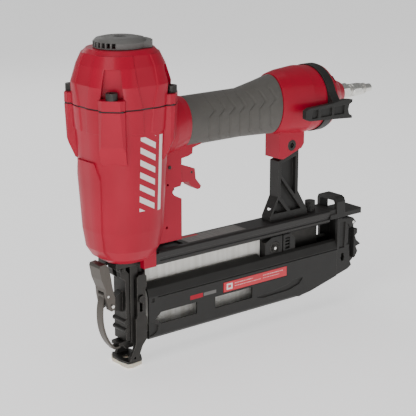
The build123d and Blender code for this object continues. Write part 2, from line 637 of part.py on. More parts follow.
def trigger():
    """Finger lever, a channel open at the top round its inner lever."""
    side = [(41.0, 178.0), (50.0, 178.0), (57.0, 174.0), (74.6, 167.3), (75.6, 157.7), (81.7, 150.2),
            (80.5, 148.0),
            (77.6, 147.6), (70.0, 152.0), (67.5, 156.2), (57.1, 157.1), (55.5, 161.0), (46.0, 164.0),
            (40.0, 170.0)]
    body = side_prism(side, -TRIGGER_HALF_W, TRIGGER_HALF_W)
    body -= side_prism([(47.5, 190.0), (47.5, 150.0), (55.0, 150.0), (56.5, 159.5), (72.0, 159.8),
                        (73.7, 162.5),
                        (73.7, 190.0)], -2.6, 2.6)
    body -= rod_y(PIVOT_PIN_R + PIN_FIT, -9, 9, *TRIGGER_PIVOT)
    return body - rod_y(LEVER_PIN_R, -9, 9, *LEVER_PIN)


def trigger_pin():
    return rod_y(PIVOT_PIN_R, -WEB_HALF_W - 0.6, WEB_HALF_W + 0.6, *TRIGGER_PIVOT)


def inner_lever():
    """Lever inside the trigger that the contact arm lifts against the valve stem."""
    body = side_prism([(73.2, 166.0), (70.5, 166.6), (64.5, 171.2), (62.0, 171.9), (59.5, 171.2),
                       (48.5, 165.2),
                       (48.5, 162.0), (52.0, 162.0), (62.0, 166.0), (69.4, 162.2),
                       (73.2, 162.6)], -2.2, 2.2)
    return body - rod_y(LEVER_PIN_R + PIN_FIT, -9, 9, *LEVER_PIN)


def inner_lever_pin():
    return rod_y(LEVER_PIN_R, -TRIGGER_HALF_W, TRIGGER_HALF_W, *LEVER_PIN)


def trigger_valve_body():
    body = rod_z(VALVE_BODY_R, VALVE_BODY_Z0, VALVE_BODY_Z1, STEM_X)
    body -= rod_z(3.6, VALVE_BODY_Z0 + 5.0, VALVE_BODY_Z1 - 2.0, STEM_X)
    return body - rod_z(STEM_R + GAP, VALVE_BODY_Z0 - 1, VALVE_BODY_Z0 + 6.0, STEM_X)


def trigger_valve_stem():
    return rod_z(STEM_R, STEM_Z0, 193.0, STEM_X) + rod_z(3.1, 186.0, 189.0, STEM_X)


def trigger_valve_spring():
    return spring(2.6, 0.35, 189.05, VALVE_BODY_Z1 - 2.05, 6.0, STEM_X)


# ---------------------------------------------------------------- handle
GROOVES = 7
GROOVE_PITCH = 12.0
GROOVE_W = 2.2
GROOVE_DEPTH = 1.2


def grip_sleeve():
    """Rubber sleeve over the handle core, with chevron grooves down each side."""
    body = oval_loft(GRIP) - oval_loft(CORE)
    body &= block(GRIP_X0, GRIP_X1, -40, 40, 150, 260)
    body -= side_prism(SPUR, -8.0, 8.0)
    bed = oval_loft([(x, z, half_h - GROOVE_DEPTH, half_w - GROOVE_DEPTH) for x, z, half_h, half_w in GRIP])
    half = GROOVE_W / 2
    for index in range(GROOVES):
        x = GRIP_X0 + 17.0 + index * GROOVE_PITCH
        chevron = [(x - half, 223.0), (x + half, 223.0), (x + 7.0 + half, 211.0), (x + half, 199.0),
                   (x - half, 199.0), (x + 7.0 - half, 211.0)]
        body -= side_prism(chevron, -30.0, 30.0) - bed
    return body


def belt_hook():
    """Ring on the handle's end with the hook arm beside it."""
    x0 = HANDLE_END_X + GAP
    x1 = HANDLE_END_X + RING_W - GAP
    ring = rod_x(RING_R, x0, x1, 0, HANDLE_Z) - rod_x(SPIGOT_R + GAP, x0 - 1, x1 + 1, 0, HANDLE_Z)
    y_in = -HOOK_Y + 2.5
    y_out = -HOOK_Y - 2.5
    arm = side_prism([(175.5, 204.0), (180.0, 201.6), (206.0, 200.0), (234.0, 198.0), (234.0, 200.2),
                      (230.2, 202.4),
                      (229.0, 206.5), (230.2, 211.4), (234.0, 213.2), (234.0, 215.6), (226.0, 216.6),
                      (206.0, 214.4),
                      (180.0, 213.4), (175.5, 211.6)], y_out, y_in)
    for x0_slot, x1_slot in ((182.6, 190.6), (193.6, 208.0), (210.6, 224.0)):
        arm -= block(x0_slot, x1_slot, y_out - 1, y_out + 1.6, 203.4, 211.4)
    neck = end_prism([(-RING_R + 3.0, 200.0), (-HOOK_Y, 202.0), (-HOOK_Y, 213.5),
                      (-RING_R + 2.5, 225.0)], x0, x1)
    heel = block(221.0, 229.0, y_in - 0.5, y_in + 1.0, 203.5, 211.5)
    neck -= rod_x(SPIGOT_R + GAP, x0 - 1, x1 + 1, 0, HANDLE_Z)
    return ring + arm + neck + heel


def end_cap():
    """Domed cap over the handle's end, threaded for the air plug."""
    x0 = HANDLE_END_X + RING_W
    body = turned_x([(x0, 0), (x0, 31.5), (x0 + 2.5, 31.0), (228.5, 25.8), (238.0, 20.5), (246.0, 14.0),
                     (END_CAP_X - 1.5, 11.0), (END_CAP_X, 9.5), (END_CAP_X, 0)], HANDLE_Z)
    body -= turned_x([(x0 - 1, 0), (x0 - 1, 21.0), (x0 + 4.0, 19.0), (238.0, 9.0), (238.0, 0)], HANDLE_Z)
    body -= rod_x(6.5, 237.0, END_CAP_X + 1, 0, HANDLE_Z)
    for y, z in end_screw_points():
        body -= rod_x(2.2, x0 - 1, 240.0, y, z)
        body -= rod_x(4.1, x0 + 3.0, 240.0, y, z)
    return body


def end_cap_screws():
    screws = []
    x0 = HANDLE_END_X + RING_W
    for y, z in end_screw_points():
        head = rod_x(3.8, x0 + 3.0, x0 + 6.4, y, z)
        head -= Pos(x0 + 4.6, y, z) * Rot(0, 90, 0) * extrude(RegularPolygon(1.9, 6), 2.4)
        screws.append(head + rod_x(2.0, HANDLE_END_X - 1.5, x0 + 3.0, y, z))
    return group(*screws)


def swivel_base():
    """Hex nipple screwed into the end cap, the still half of the swivel."""
    across = HEX_AF / sqrt(3)
    x1 = SWIVEL_X - GAP
    body = Pos(END_CAP_X, 0, HANDLE_Z) * Rot(0, 90, 0) * extrude(RegularPolygon(across, 6), x1 - END_CAP_X)
    body &= turned_x([(END_CAP_X, 0), (END_CAP_X, across), (x1 - 5.5, across), (x1 - 4.0, HEX_AF / 2 - 0.4),
                      (x1 - 3.4, 5.6), (x1 - 1.4, 5.6), (x1 - 1.0, 6.6), (x1, 6.6), (x1, 0)], HANDLE_Z)
    body += rod_x(6.5, 240.0, END_CAP_X + 1, 0, HANDLE_Z)
    return body - rod_x(4.3, 239.0, SWIVEL_X + 1, 0, HANDLE_Z)


def swivel_plug():
    """Turning half of the swivel with the quick-release air plug."""
    across = PLUG_AF / sqrt(3)
    x = PLUG_HEX_END_X
    hexagon = Pos(SWIVEL_X, 0, HANDLE_Z) * Rot(0, 90, 0) * extrude(RegularPolygon(across, 6), x - SWIVEL_X)
    hexagon &= turned_x([(SWIVEL_X, 0), (SWIVEL_X, 5.6), (SWIVEL_X + 1.6, 5.6),
                         (SWIVEL_X + 2.6, across - 0.6),
                         (x - 2.0, across - 0.6), (x, PLUG_AF / 2 - 0.8), (x, 0)], HANDLE_Z)
    body = turned_x([(x - 1, 0), (x - 1, 5.9), (x + 1.2, 5.9), (x + 2.2, 3.6), (x + 4.4, 3.6),
                     (x + 5.2, 5.4),
                     (x + 6.6, 5.4), (x + 7.6, PLUG_TIP_R), (PLUG_END_X - 0.8, PLUG_TIP_R),
                     (PLUG_END_X, PLUG_TIP_R - 0.8), (PLUG_END_X, 0)], HANDLE_Z)
    stem = rod_x(4.0, 244.0, SWIVEL_X + 1, 0, HANDLE_Z)
    return hexagon + body + stem - rod_x(PLUG_BORE_R, 243.0, PLUG_END_X + 1, 0, HANDLE_Z)


# ---------------------------------------------------------------- magazine, fixed side
END_PLATE_Z0 = 92.0
END_PLATE_Z1 = 96.5
BRACKET_HALF_W = 6.0
KNOB_X = 221.0
KNOB_PIN_R = 2.5


def top_rail():
    """Extruded rail under the tool that guides the nail heads."""
    half = RAIL_HALF_W
    z0 = RAIL_Z0
    z1 = RAIL_Z1
    body = end_prism([(-half + 2.5, z0), (half - 2.5, z0), (half, z0 + 2.0), (half, z1 - 1.5),
                      (half - 1.5, z1),
                      (-half + 1.5, z1), (-half, z1 - 1.5), (-half, z0 + 2.0)], NOSE_BACK_X, RAIL_END_X)
    for side in (-1, 1):
        y0, y1 = sorted((half * side, (half - 1.0) * side))
        body -= block(NOSE_BACK_X + 14.0, RAIL_END_X + 1, y0, y1, z0 + 4.0, z0 + 7.0)
    body -= block(0, 60.0, -20, 20, HOUSING_Z0, RAIL_Z1 + 1) & rod_z(31.0, 90.0, 120.0)
    body -= block(28.0, 60.0, -7.0, 7.0, RAIL_Z1 - 2.0, RAIL_Z1 + 1)
    for x in BRACKET_SCREWS:
        body -= rod_z(2.0, z0, z1 + 1, x)
    return body - rod_z(KNOB_PIN_R + PIN_FIT, z0 - 1, z1 + 1, KNOB_X)


BRACKET_SCREWS = (171.0, 205.0)


def nail_rail():
    """Steel strip beside the nails, hung from the top rail."""
    body = block(NOSE_BACK_X, 232.0, 1.2, 3.2, 25.0, RAIL_Z0)
    body += block(NOSE_BACK_X, 232.0, 3.2, 9.0, RAIL_Z0 - 2.0, RAIL_Z0)
    body -= block(146.0, 176.0, 0, 4, 40.0, 56.0)
    return body - block(192.0, 240.0, 0, 4, 20.0, 37.0)


def nail_strip():
    """Glued strip of brads standing head up against the steel strip."""
    shanks = block(NAIL_X0, NAIL_X1, -NAIL_W / 2, NAIL_W / 2, NAIL_Z0, NAIL_Z1)
    heads = block(NAIL_X0, NAIL_X1, -NAIL_HEAD_W / 2, NAIL_HEAD_W / 2, NAIL_Z1 - 1.0, NAIL_Z1)
    return shanks + heads - block(NAIL_X0 - 1, NAIL_X1 + 1, 1.2, 4.0, NAIL_Z0 - 1, NAIL_Z1 + 1)


def bracket():
    """Moulded leg between the handle lug and the rail."""
    half = BRACKET_HALF_W
    side = [(173.5, 158.5), (173.5, 124.0), (164.0, 105.5), (164.0, RAIL_Z1), (211.6, RAIL_Z1),
            (211.6, 105.5), (199.0, 126.0), (199.0, 166.5)]
    body = side_prism(side, -half, half)
    pockets = [[(177.0, 156.0), (177.0, 145.5), (195.6, 123.0), (195.6, 161.0)],
               [(177.0, 141.8), (177.0, 123.6), (190.0, 108.0), (203.6, 108.0)],
               [(174.4, 121.6), (167.8, 108.0), (185.8, 108.0)]]
    for pocket in pockets:
        body -= side_prism(pocket, -half - 1, -1.6)
        body -= side_prism(pocket, 1.6, half + 1)
    body += rod_y(half, -half, half, *BRACKET_PIN) & block(150, 220, -4.2, 4.2, 150, 200)
    body += side_prism([(179.0, 156.0), (180.6, 173.0), (192.6, 173.0), (196.0, 160.0)], -4.2, 4.2)
    body -= rod_y(3.2, -20, 20, *BRACKET_PIN)
    for x in BRACKET_SCREWS:
        body -= rod_z(2.2, RAIL_Z1 - 1, RAIL_Z1 + 4.0, x)
        body -= rod_z(4.2, RAIL_Z1 + 3.0, RAIL_Z1 + 12.0, x) & block(150, 230, -20, 20, 90, 130)
    return body


def bracket_screws():
    """Two screws that hold the leg down on the rail."""
    screws = []
    for x in BRACKET_SCREWS:
        head = rod_z(3.9, RAIL_Z1 + 3.0, RAIL_Z1 + 6.4, x)
        head -= Pos(x, 0, RAIL_Z1 + 4.6) * extrude(RegularPolygon(1.9, 6), 3)
        screws.append(head + rod_z(2.0, RAIL_Z1 - 9.0, RAIL_Z1 + 3.0, x))
    return group(*screws)


def lug_screw():
    """Socket screw through the lug and the head of the leg."""
    body = rod_y(3.0, -9.0, 7.0, *BRACKET_PIN) + rod_y(5.0, -10.0, -7.0, *BRACKET_PIN)
    x, z = BRACKET_PIN
    plane = Plane((x, -10.5, z), x_dir=(1, 0, 0), z_dir=(0, 1, 0))
    return body - extrude(plane * RegularPolygon(2.9, 6), 2.6)


def lug_nut():
    return rod_y(5.0, 7.0, 10.0, *BRACKET_PIN) - rod_y(3.0, 6.0, 7.0, *BRACKET_PIN)


def end_plate():
    """Fixed plate at the back of the rail with the carrying loop."""
    half = COVER_HALF_W
    body = plan_prism([(RAIL_END_X, -half), (278.0, -half), (281.0, -11.0), (281.0, 11.0), (278.0, half),
                       (RAIL_END_X, half)], END_PLATE_Z0, END_PLATE_Z1)
    body += block(RAIL_END_X, 244.0, -RAIL_HALF_W, RAIL_HALF_W, END_PLATE_Z1, RAIL_Z1)
    loop = end_prism([(-half, 96.0), (-half, 108.0), (-half + 1.5, 111.5), (-half + 5.0, 113.0),
                      (half - 5.0, 113.0),
                      (half - 1.5, 111.5), (half, 108.0), (half, 96.0)], 244.4, 255.4)
    hole = end_prism([(-half + 3.8, 90.0), (-half + 3.8, 107.0), (-half + 5.4, 109.0), (half - 5.4, 109.0),
                      (half - 3.8, 107.0), (half - 3.8, 90.0)], 240.0, 260.0)
    body += loop - (hole & block(240, 260, -half, half, END_PLATE_Z1, 120))
    for y in (-8.0, 8.0):
        body -= rod_x(1.6, RAIL_END_X - 1, 260.0, y, END_PLATE_Z1 + 1.8) & block(230, 244.4, -20, 20, 90, 102)
    return body


def knob():
    """Knurled screw that clamps the leg's foot end of the rail."""
    body = rod_z(5.0, RAIL_Z1 + GAP / 2, RAIL_Z1 + 10.5, KNOB_X)
    for turn in range(0, 360, 20):
        body -= Pos(KNOB_X, 0, 0) * Rot(0, 0, turn) * rod_z(0.5, RAIL_Z1 + 3.0, RAIL_Z1 + 11, 5.1)
    return body + rod_z(KNOB_PIN_R, RAIL_Z0 + 1.0, RAIL_Z1 + 1, KNOB_X)


def rail_label():
    """Plain two-tone plate on top of the rail."""
    return block(64.0, 132.0, -9.0, 9.0, RAIL_Z1, RAIL_Z1 + 0.3)


# ---------------------------------------------------------------- magazine, sliding side
COVER_BACK_X = 246.0
LATCH_HINGE = (268.0, 84.0)


def cover_section(x0, x1):
    """The channel of the cover: floor, two walls and the ledges beside the nails."""
    half = COVER_HALF_W
    top = COVER_TOP_Z
    z0 = COVER_Z0
    wall = COVER_WALL
    outer = [(-2.6, top), (-5.0, top), (-11.5, top - 4.0), (-half, top - 11.0), (-half, z0 + 2.5),
             (-half + 2.0, z0),
             (half - 2.0, z0), (half, z0 + 2.5), (half, top - 11.0), (11.5, top - 4.0), (6.2, top),
             (4.0, top)]
    inner = [(4.0, top - wall - 0.4), (5.6, top - wall - 0.4), (10.0, top - 5.7), (half - wall, top - 11.4),
             (half - wall, z0 + 3.1), (half - 3.0, z0 + wall - 0.2), (-half + 3.0, z0 + wall - 0.2),
             (-half + wall, z0 + 3.1), (-half + wall, top - 11.4), (-10.0, top - 5.7),
             (-4.6, top - wall - 0.4),
             (-2.6, top - wall - 0.4)]
    return end_prism(outer + inner, x0, x1)


def magazine_cover():
    """Sliding cover with two windows, a finger scallop and a rising tail."""
    half = COVER_HALF_W
    body = cover_section(COVER_FRONT_X, COVER_BACK_X)
    body -= side_prism([(200.0, 0.0), (200.0, COVER_Z0 - 0.1), (COVER_BACK_X + 1, 32.6),
                        (COVER_BACK_X + 1, 0.0)], -20, 20)
    tail = side_prism([(196.0, COVER_Z0 + 0.2), (COVER_BACK_X, 32.6), (COVER_BACK_X, 35.0),
                       (192.0, COVER_Z0 + 1.6)],
                      -half + 0.1, half - 0.1)
    body += tail
    for side in (-1, 1):
        y0, y1 = sorted((side * (half - 4.0), side * (half + 1.0)))
        body -= side_prism([(23.0, 39.5), (29.0, 45.0), (70.0, 45.0), (70.0, 34.0), (29.0, 34.0)], y0, y1)
        body -= side_prism([(91.0, 45.0), (136.0, 45.0), (136.0, 34.0), (91.0, 34.0)], y0, y1)
    scallop = [(141.0, 33.0), (150.0, 31.0), (182.0, 31.5), (196.0, 35.0), (201.0, 40.5), (188.0, 41.0),
               (183.0, 38.0), (160.0, 34.5), (148.0, 34.5)]
    body -= side_prism(scallop, -half - 1, -half + 1.2)
    body -= side_prism([(100.0, 46.4), (179.5, 46.4), (179.5, 57.0), (100.0, 57.0)], -half - 1, -half + 0.5)
    body -= block(150.0, COVER_BACK_X + 1, -8.5, 3.9, COVER_TOP_Z - 12.0, COVER_TOP_Z + 1)
    for side in (-1, 1):
        y0, y1 = sorted((side * (half - 1.1), side * (half + 1.0)))
        body -= side_prism([(16.5, 39.0), (26.0, 33.6), (25.0, 28.0), (20.0, 24.6), (16.5, 24.6)], y0, y1)
        body -= block(19.0, 22.0, y0, y1, 56.0, 59.4)
        body -= block(26.0, COVER_BACK_X + 1, y0, y1, COVER_TOP_Z - 12.6, COVER_TOP_Z - 11.4)
    return body


def cover_label():
    """Plain coloured plate let into the cover."""
    half = COVER_HALF_W
    return side_prism([(101.0, 47.0), (179.0, 47.0), (179.0, 56.4), (101.0, 56.4)], -half, -half + 0.5)


def magazine_end():
    """Back end of the cover: two cheeks, the back wall and the latch hinge."""
    half = COVER_HALF_W
    profile = [(COVER_BACK_X, 33.0), (262.0, 36.8), (266.4, 39.8), (END_REAR_X + 1, 46.0),
               (END_REAR_X, 60.0),
               (END_REAR_X, 78.0), (271.4, 84.0), (268.0, 88.0), (COVER_BACK_X, 91.4)]
    body = side_prism(profile, -half, half)
    body -= side_prism([(COVER_BACK_X - 1, 40.0), (258.0, 40.0), (259.5, 60.0), (259.5, 92.0),
                        (COVER_BACK_X - 1, 92.0)],
                       -half + 3.0, half - 3.0)
    body -= side_prism([(262.2, 77.0), (275.0, 77.0), (275.0, 95.0), (262.2, 95.0)], -8.0, 8.0)
    body -= side_prism([(252.0, 46.5), (255.5, 46.5), (255.5, 54.5), (252.0, 54.5)], -half - 1, half + 1)
    for side in (-1, 1):
        y0, y1 = sorted((side * (half - 1.3), side * (half + 1.0)))
        body -= side_prism([(248.6, 60.0), (256.0, 60.0), (257.0, 86.6), (248.6, 87.4)], y0, y1)
        body -= side_prism([(259.0, 62.0), (264.0, 62.0), (264.0, 80.0), (259.6, 84.6)], y0, y1)
    body -= rod_y(2.6, -half - 1, half + 1, 253.75, 50.0)
    return body - rod_y(1.5, -half - 1, half + 1, *LATCH_HINGE)


def magazine_latch():
    """Serrated thumb latch on the back, hinged at its top."""
    profile = [(266.6, 88.6), (274.2, 86.0), (274.8, 71.2), (271.6, 68.9), (273.7, 64.1), (279.6, 59.2),
               (273.2, 57.6), (275.7, 52.1), (272.2, 46.6), (274.8, 43.6), (271.5, 41.0), (269.8, 45.0),
               (270.2, 77.0),
               (265.0, 80.0)]
    body = side_prism(profile, -7.6, 7.6)
    blade = side_prism([(270.4, 46.0), (270.2, 76.0), (274.6, 76.0), (274.6, 71.2), (271.6, 68.9),
                        (273.7, 64.1),
                        (279.6, 59.2), (273.2, 57.6), (275.7, 52.1), (272.2, 46.6)], -13.0, 13.0)
    return body + blade - rod_y(1.5 + PIN_FIT, -20, 20, *LATCH_HINGE)


def magazine_latch_pin():
    return rod_y(1.5, -COVER_HALF_W, COVER_HALF_W, *LATCH_HINGE)


def pusher():
    """Follower that feeds the strip, with the housing of its spring roller."""
    x0 = PUSHER_X0
    x1 = x0 + PUSHER_LEN
    body = block(x0, x1, -1.9, 0.9, 37.0, RAIL_Z0 - GAP)
    body += side_prism([(x0, 63.0), (x1 - 4.0, 63.0), (x1, 68.0), (x1, 80.0), (x1 - 6.0, RAIL_Z0 - 2.0),
                        (x0 + 8.0, RAIL_Z0 - 2.0), (x0, 82.0)], -8.0, -1.8)
    body -= rod_y(6.6, -9.0, -2.4, x0 + 12.0, 75.0)
    body += rod_y(3.5, -8.0, -3.0, x0 + 27.6, 65.4) - rod_y(1.3, -9.0, -5.0, x0 + 27.6, 65.4)
    body -= block(x0 + 21.4, x0 + 23.0, -8.6, -5.6, 60.0, RAIL_Z0)
    body -= block(x0 + 25.4, x0 + 31.4, -8.6, -5.2, 71.4, 82.6)
    for z in (73.4, 76.6, 79.8):
        body += block(x0 + 25.0, x0 + 31.8, -7.4, -5.0, z, z + 1.4)
    return body - rod_y(1.4, -10.0, -1.0, x0 + 12.0, 75.0)


def feed_roller():
    """Coiled constant-force spring in the pusher."""
    x = PUSHER_X0 + 12.0
    body = rod_y(6.2, -8.0, -2.7, x, 75.0) - rod_y(1.4 + PIN_FIT, -9.0, -1.0, x, 75.0)
    return body - (rod_y(5.0, -9.0, -7.2, x, 75.0) - rod_y(3.0, -9.5, -7.0, x, 75.0))


def roller_pin():
    return rod_y(1.4, -8.8, -1.2, PUSHER_X0 + 12.0, 75.0)


# ---------------------------------------------------------------- assembly
NODES = {
    "housing": housing, "cap_gasket": cap_gasket, "cylinder_cap": cylinder_cap, "cap_screws": cap_screws,
    "exhaust_deflector": exhaust_deflector, "deflector_screw": deflector_screw, "head_valve": head_valve,
    "head_valve_oring": head_valve_oring, "head_valve_spring": head_valve_spring,
    "cylinder_sleeve": cylinder_sleeve, "sleeve_seals": sleeve_seals, "bumper": bumper, "piston": piston,
    "piston_ring": piston_ring, "driver_blade": driver_blade, "nose_body": nose_body,
    "nose_screws": nose_screws, "nose_door": nose_door, "door_pin": door_pin, "latch_lever": latch_lever,
    "latch_pin": latch_pin, "latch_strap": latch_strap, "strap_pin": strap_pin, "contact_foot": contact_foot,
    "guide_pin": guide_pin, "no_mar_pad": no_mar_pad, "contact_arm": contact_arm, "depth_wheel": depth_wheel,
    "contact_spring": contact_spring, "trigger": trigger, "trigger_pin": trigger_pin,
    "inner_lever": inner_lever, "inner_lever_pin": inner_lever_pin,
    "trigger_valve_body": trigger_valve_body, "trigger_valve_stem": trigger_valve_stem,
    "trigger_valve_spring": trigger_valve_spring, "grip_sleeve": grip_sleeve, "belt_hook": belt_hook,
    "end_cap": end_cap, "end_cap_screws": end_cap_screws, "swivel_base": swivel_base,
    "swivel_plug": swivel_plug, "top_rail": top_rail, "rail_label": rail_label, "nail_rail": nail_rail,
    "nail_strip": nail_strip, "bracket": bracket, "bracket_screws": bracket_screws, "lug_screw": lug_screw,
    "lug_nut": lug_nut, "end_plate": end_plate, "knob": knob, "magazine_cover": magazine_cover,
    "cover_label": cover_label, "magazine_end": magazine_end, "magazine_latch": magazine_latch,
    "magazine_latch_pin": magazine_latch_pin, "pusher": pusher, "feed_roller": feed_roller,
    "roller_pin": roller_pin,
}

if __name__ == "__main__":
    os.makedirs("parts", exist_ok=True)
    for name, make in NODES.items():
        export_step(make(), f"parts/{name}.step")
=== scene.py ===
"""Pneumatic finish nailer: finishes, fitted pieces, floor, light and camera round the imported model."""
import json
from math import cos, floor, pi, radians, sin

import bmesh
import bpy
from mathutils import Matrix, Vector


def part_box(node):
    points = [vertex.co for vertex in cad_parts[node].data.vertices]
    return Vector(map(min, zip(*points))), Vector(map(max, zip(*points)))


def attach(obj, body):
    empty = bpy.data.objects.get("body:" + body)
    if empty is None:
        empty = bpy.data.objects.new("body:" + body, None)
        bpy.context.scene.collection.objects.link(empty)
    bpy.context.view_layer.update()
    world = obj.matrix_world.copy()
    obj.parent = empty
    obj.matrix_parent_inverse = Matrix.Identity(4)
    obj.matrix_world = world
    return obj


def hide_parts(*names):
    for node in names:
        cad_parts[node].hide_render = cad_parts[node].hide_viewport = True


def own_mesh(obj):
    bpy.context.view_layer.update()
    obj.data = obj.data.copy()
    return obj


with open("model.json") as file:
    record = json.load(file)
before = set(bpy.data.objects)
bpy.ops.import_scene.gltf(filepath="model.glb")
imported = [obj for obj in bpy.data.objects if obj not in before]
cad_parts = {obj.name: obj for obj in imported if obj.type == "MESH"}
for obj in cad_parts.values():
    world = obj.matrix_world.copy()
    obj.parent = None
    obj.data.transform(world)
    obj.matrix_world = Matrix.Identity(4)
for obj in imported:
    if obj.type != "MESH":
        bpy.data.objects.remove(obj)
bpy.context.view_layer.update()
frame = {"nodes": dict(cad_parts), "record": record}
nodes = frame["nodes"]
behaviour = frame["record"]["behaviour"]
body_of = {node: body for body, members in behaviour["bodies"].items() for node in members}
slot_of = {row["node"]: row["material_slot"] for row in frame["record"]["subparts"]}


# ------------------------------------------------------------------ finishes
class Level:
    """A number that varies over a surface. Sums and comparisons with it add Math nodes."""

    def __init__(self, finish, socket):
        self.finish = finish
        self.socket = socket

    def maths(self, operation, *terms):
        return self.finish.node("ShaderNodeMath", {"operation": operation}, *terms)

    def __add__(self, other):
        return self.maths("ADD", self, other)

    def __sub__(self, other):
        return self.maths("SUBTRACT", self, other)

    def __rsub__(self, other):
        return self.maths("SUBTRACT", other, self)

    def __mul__(self, other):
        return self.maths("MULTIPLY", self, other)

    def __gt__(self, other):
        return self.maths("GREATER_THAN", self, other)

    def __lt__(self, other):
        return self.maths("LESS_THAN", self, other)

    __radd__ = __add__
    __rmul__ = __mul__

    def within(self, low, high):
        """1 between two limits, and 0 outside them."""
        return (self > low) * (self < high)

    def ramp(self, low, high):
        """0 below the first limit, 1 above the second, smooth between them."""
        settings = {"interpolation_type": "SMOOTHSTEP"}
        return self.finish.node("ShaderNodeMapRange", settings, self, low, high)


class Finish:
    """One material: a Principled shader with its colour, roughness and relief worked out in nodes."""

    def __init__(self, name, edge, **constants):
        self.material = bpy.data.materials.new(name)
        self.material.use_nodes = True
        self.tree = self.material.node_tree
        self.tree.nodes.clear()
        self.shader = self.tree.nodes.new("ShaderNodeBsdfPrincipled")
        output = self.tree.nodes.new("ShaderNodeOutputMaterial")
        self.tree.links.new(self.shader.outputs["BSDF"], output.inputs["Surface"])
        self.set(**constants)
        self.place = self.node("ShaderNodeTexCoord", out="Object")
        axes = self.tree.nodes.new("ShaderNodeSeparateXYZ")
        self.tree.links.new(self.place.socket, axes.inputs[0])
        self.x, self.y, self.z = (Level(self, socket) for socket in axes.outputs)
        self.rounded = self.tree.nodes.new("ShaderNodeBevel")
        self.rounded.samples = 4
        self.rounded.inputs["Radius"].default_value = edge

    def node(self, kind, settings=None, *values, out=0, **named):
        """Adds a node: its settings first, then its sockets by order or by name."""
        made = self.tree.nodes.new(kind)
        for key, value in (settings or {}).items():
            setattr(made, key, value)
        sockets = [(index, value) for index, value in enumerate(values)]
        sockets += [(key.replace("_", " "), value) for key, value in named.items()]
        for key, value in sockets:
            self.join(made.inputs[key], value)
        return Level(self, made.outputs[out])

    def join(self, socket, value):
        if isinstance(value, Level):
            self.tree.links.new(value.socket, socket)
        elif socket.type == "RGBA" and len(value) == 3:
            socket.default_value = (*value, 1.0)
        else:
            socket.default_value = value

    def set(self, **named):
        for key, value in named.items():
            self.join(self.shader.inputs[key.replace("_", " ")], value)

    def noise(self, size, detail=2.0, stretch=None):
        """A cloudy level from 0 to 1 whose features are about that many metres across."""
        place = self.place
        if stretch:
            place = self.node("ShaderNodeMapping", {}, place, Scale=stretch)
        return self.node("ShaderNodeTexNoise", {}, place, Scale=1.0 / size, Detail=detail)

    def grains(self, size):
        """Distance to the nearest of many small grains."""
        return self.node("ShaderNodeTexVoronoi", {}, self.place, Scale=1.0 / size)

    def mix(self, level, first, second):
        """The first colour where the level is 0, the second where it is 1."""
        made = self.tree.nodes.new("ShaderNodeMix")
        made.data_type = "RGBA"
        self.join(made.inputs[0], level)
        self.join(made.inputs[6], first)
        self.join(made.inputs[7], second)
        return Level(self, made.outputs[2])

    def worn(self):
        """1 on outside edges, where the rounded normal leaves the flat one: the mask for a painted edge
        highlight, where edges would catch the light.
        """
        flat = self.node("ShaderNodeNewGeometry", out="Normal")
        turn = self.node("ShaderNodeVectorMath", {"operation": "DOT_PRODUCT"}, flat,
                         Level(self, self.rounded.outputs[0]), out="Value")
        return (1.0 - turn).ramp(0.02, 0.22)

    def relief(self, height, depth):
        """Bump of that many metres over the rounded edges."""
        bump = self.node("ShaderNodeBump", {}, Strength=1.0, Distance=depth, Height=height,
                         Normal=Level(self, self.rounded.outputs[0]))
        self.set(Normal=bump)
        return self.material


FINISHES = {}
RED_LOW = (0.37, 0.001, 0.020)
RED_HIGH = (0.43, 0.002, 0.026)


def finish(function):
    """Keeps a finish under the name of the material slot that it is for."""
    FINISHES[function.__name__] = function()
    return function


@finish
def red_paint():
    made = Finish("red_paint", 0.0009, Coat_Weight=0.14, Coat_Roughness=0.12, Specular_IOR_Level=0.25)
    colour = made.mix(made.noise(0.045).ramp(0.3, 0.7), RED_LOW, RED_HIGH)
    # painted edge highlight: lighter red along the outside edges
    colour = made.mix(made.worn() * 0.35, colour, (0.60, 0.02, 0.06))
    # a plain bar and slanted hatching on the near side of the barrel
    near = made.y < -0.02
    bar = made.x.within(0.0127, 0.0166) * made.z.within(0.146, 0.212)
    slope = made.node("ShaderNodeMath", {"operation": "FRACT"}, (made.x * 0.55 + made.z) * 95.0)
    hatch = made.x.within(-0.007, 0.0085) * made.z.within(0.148, 0.212) * (slope > 0.52)
    colour = made.mix((bar + hatch) * near * 0.86, colour, (0.88, 0.86, 0.84))
    made.set(Base_Color=colour, Roughness=0.36 + made.noise(0.02) * 0.12)
    return made.relief(made.noise(0.0016, 3.0), 0.00006)


@finish
def red_plastic():
    made = Finish("red_plastic", 0.0006, Roughness=0.42, Specular_IOR_Level=0.4)
    colour = made.mix(made.noise(0.01), RED_LOW, RED_HIGH)
    # painted edge highlight: lighter red along the outside edges
    made.set(Base_Color=made.mix(made.worn() * 0.4, colour, (0.64, 0.08, 0.09)))
    return made.relief(made.grains(0.0005), 0.00003)


@finish
def black_plastic():
    made = Finish("black_plastic", 0.0005, Specular_IOR_Level=0.35)
    colour = made.mix(made.noise(0.012), (0.016, 0.0155, 0.0145), (0.025, 0.024, 0.022))
    # two plain dashes on the near side of the magazine cover
    side = made.y < -0.0125
    red_bar = made.x.within(0.062, 0.0765) * made.z.within(0.0485, 0.0525) * side
    grey_bar = made.x.within(0.0775, 0.092) * made.z.within(0.0490, 0.0522) * side
    colour = made.mix(red_bar, colour, (0.42, 0.004, 0.022))
    colour = made.mix(grey_bar, colour, (0.16, 0.155, 0.15))
    # painted edge highlight: lighter grey along the outside edges
    made.set(Base_Color=made.mix(made.worn() * 0.6, colour, (0.12, 0.115, 0.105)),
             Roughness=0.44 + made.noise(0.006) * 0.16)
    return made.relief(made.grains(0.0006), 0.00005)


@finish
def grip_rubber():
    made = Finish("grip_rubber", 0.0005, Sheen_Weight=0.12, Sheen_Roughness=0.5)
    colour = made.mix(made.noise(0.01), (0.080, 0.075, 0.067), (0.102, 0.096, 0.086))
    made.set(Base_Color=colour, Roughness=0.68 + made.noise(0.004) * 0.16)
    return made.relief(made.grains(0.0007) + made.noise(0.0004) * 0.5, 0.00007)


